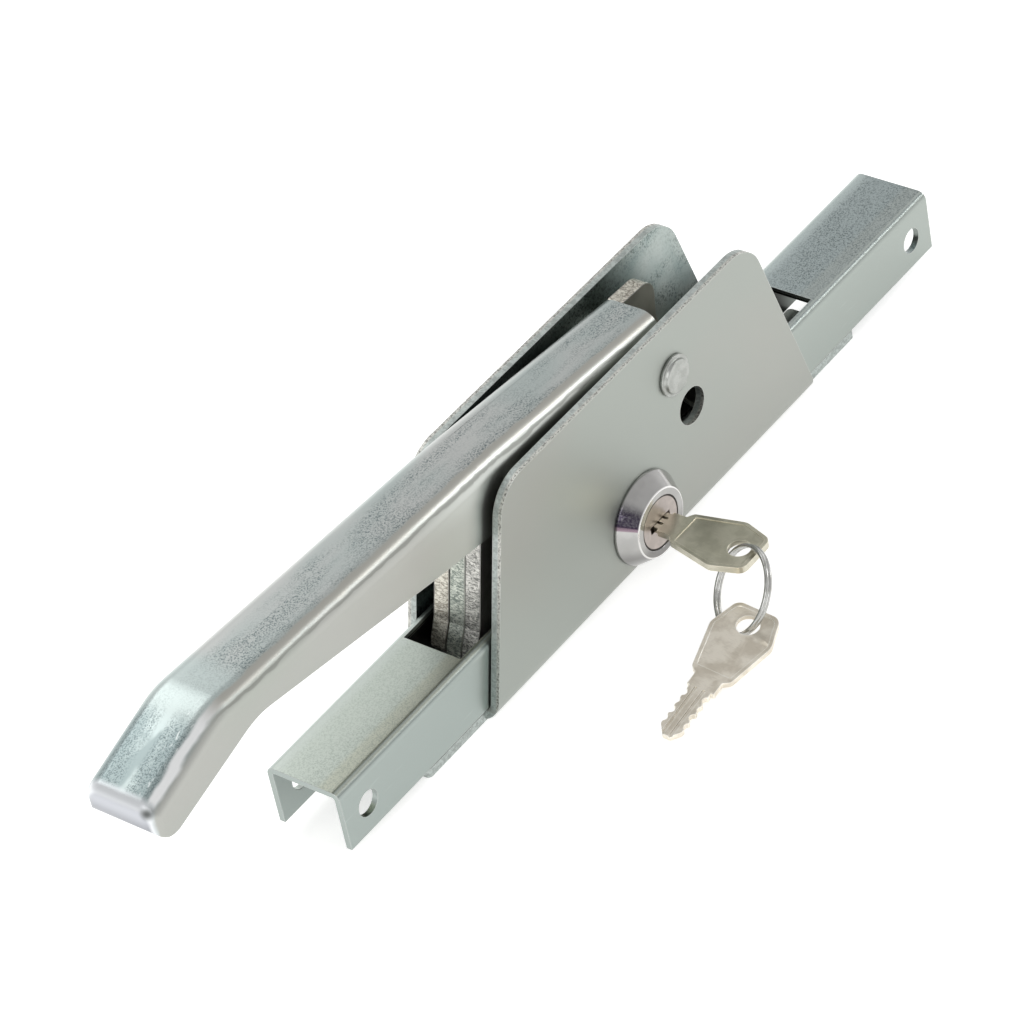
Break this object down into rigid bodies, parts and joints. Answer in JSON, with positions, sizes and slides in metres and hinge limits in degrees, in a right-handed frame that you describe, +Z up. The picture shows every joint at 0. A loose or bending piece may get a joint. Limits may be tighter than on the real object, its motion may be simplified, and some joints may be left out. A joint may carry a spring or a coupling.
{
  "type": "lever lock",
  "caption": "Two-point lever lock: lifting the pressed handle draws both channels inwards, and a key cylinder in the casing blocks the travel.",
  "frame": {"origin": "middle of the underside of the casing's base", "axes": "+X along the channels, away from the handle's grip; +Y to the rear, so the cheek with the cylinder faces -Y; +Z up from the base"},
  "size_m": [0.362, 0.0913, 0.085],
  "materials": {
    "casing_zinc": "zinc plated sheet, light and dull, with bright sheared edges",
    "channel_zinc": "zinc plated sheet with a faint yellow green tint",
    "handle_zinc": "zinc plated pressing, mottled, brighter along the shoulders",
    "plate_zinc": "zinc plated plate with streaked sheared edges",
    "pin_steel": "zinc plated turned steel",
    "rosette_chrome": "polished chrome",
    "plug_nickel": "satin nickel silver",
    "key_nickel": "worn nickel silver",
    "ring_steel": "bright spring wire"
  },
  "bodies": {
    "frame": {"casing": "casing_zinc", "pivot_rivet": "pin_steel", "pivot_washer_front": "pin_steel", "pivot_washer_rear": "pin_steel", "rosette": "rosette_chrome", "cylinder_housing": "pin_steel", "cylinder_nut": "pin_steel"},
    "lever": {"handle": "handle_zinc", "core_plate_front": "plate_zinc", "core_plate_rear": "plate_zinc", "handle_rivet_inner": "pin_steel", "handle_rivet_outer": "pin_steel", "rivet_sleeve_inner": "pin_steel", "rivet_sleeve_outer": "pin_steel", "crank_pin": "pin_steel", "pivot_sleeve": "pin_steel"},
    "left_slide": {"left_channel": "channel_zinc", "left_drive_plate": "plate_zinc", "left_follower_pin": "pin_steel", "left_cross_pin_outer": "pin_steel", "left_cross_pin_inner": "pin_steel"},
    "right_slide": {"right_channel": "channel_zinc", "right_drive_plate": "plate_zinc", "right_cross_pin_inner": "pin_steel", "right_cross_pin_outer": "pin_steel"},
    "cylinder_core": {"plug": "plug_nickel", "lock_cam": "pin_steel", "cam_screw": "pin_steel"},
    "used_key": {"key": "key_nickel"},
    "split_ring": {"key_ring": "ring_steel"},
    "second_key": {"spare_key": "key_nickel"}
  },
  "joints": [
    {"name": "lever_swing", "type": "hinge", "parent": "frame", "child": "lever", "pos_m": [0.0178, 0, 0.0542], "axis": [0, 1, 0], "range_deg": [0, 90]},
    {"name": "left_slide_in", "type": "slide", "parent": "frame", "child": "left_slide", "axis": [1, 0, 0], "range_m": [0, 0.024]},
    {"name": "right_slide_in", "type": "slide", "parent": "frame", "child": "right_slide", "axis": [-1, 0, 0], "range_m": [0, 0.024]},
    {"name": "key_turn", "type": "hinge", "parent": "frame", "child": "cylinder_core", "pos_m": [-0.0056, 0, 0.0183], "axis": [0, 1, 0], "range_deg": [0, 90]},
    {"name": "key_pull", "type": "slide", "parent": "cylinder_core", "child": "used_key", "axis": [0, -1, 0], "range_m": [0, 0.021]},
    {"name": "ring_swing", "type": "hinge", "parent": "used_key", "child": "split_ring", "pos_m": [-0.0056, -0.0493, 0.0183], "axis": [-1, 0, 0], "range_deg": [0, 25]},
    {"name": "spare_swing", "type": "hinge", "parent": "split_ring", "child": "second_key", "pos_m": [-0.014, -0.05595, 0.012], "axis": [-0.6931, 0.4451, 0.5671], "range_deg": [0, 30]}
  ],
  "couplings": [
    {"joint": "left_slide_in", "follows": "lever_swing", "m_per_rad": 0.015278},
    {"joint": "right_slide_in", "follows": "lever_swing", "m_per_rad": 0.015278}
  ]
}
